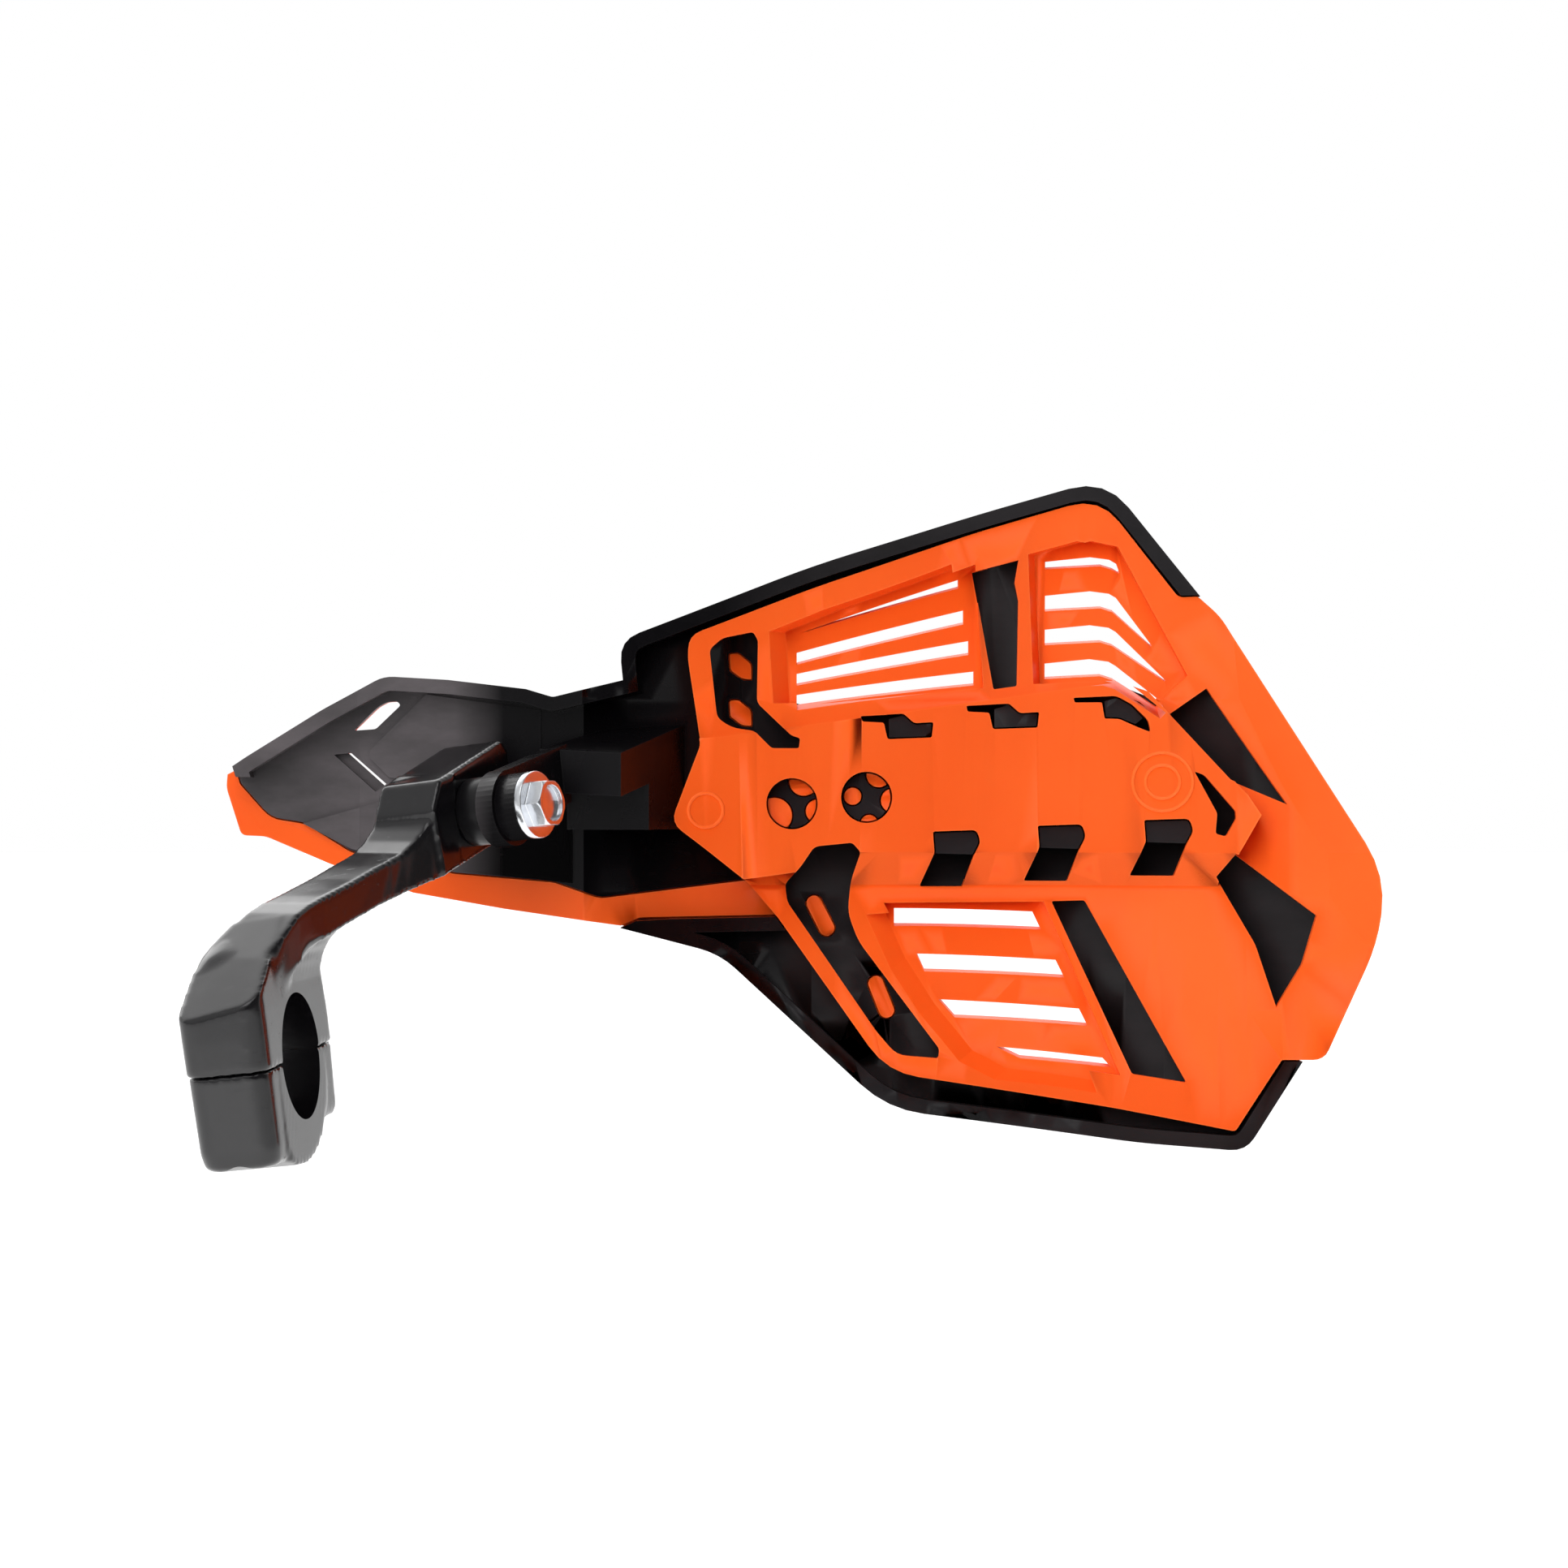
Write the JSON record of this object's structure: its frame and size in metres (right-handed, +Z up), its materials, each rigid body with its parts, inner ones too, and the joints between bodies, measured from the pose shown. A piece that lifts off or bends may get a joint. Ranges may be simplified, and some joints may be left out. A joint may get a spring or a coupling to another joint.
{
  "type": "motorcycle hand guard",
  "caption": "Moulded three-layer hand guard with louvred openings, tilting on a friction hinge at the end of an arm with a split handlebar clamp.",
  "frame": {"origin": "centre of the handlebar clamp's bore", "axes": "+X outboard along the shield, +Y forward away from the rider, +Z up; the bore's axis is swept from +X by about 13 degrees"},
  "size_m": [0.2134, 0.1019, 0.1238],
  "materials": {
    "black_plastic": "semi-gloss moulded black",
    "orange_plastic": "semi-gloss moulded orange",
    "zinc_steel": "bright zinc plate",
    "dark_spacer": "satin black",
    "brass": "turned"
  },
  "bodies": {
    "mount": {"arm": "black_plastic", "clamp_cap": "black_plastic", "clamp_screw_front": "zinc_steel", "clamp_screw_rear": "zinc_steel", "clamp_insert_front": "brass", "clamp_insert_rear": "brass", "pivot_bolt": "zinc_steel", "pivot_nut": "zinc_steel", "pivot_spacer": "dark_spacer", "pivot_sleeve": "zinc_steel"},
    "guard": {"shell": "black_plastic", "inner_liner": "orange_plastic", "front_cover": "orange_plastic"}
  },
  "joints": [
    {"name": "guard_tilt", "type": "hinge", "parent": "mount", "child": "guard", "pos_m": [0.02941, 0.04203, 0.04237], "axis": [0.8613, -0.4973, 0.1045], "range_deg": [-15, 20]}
  ]
}
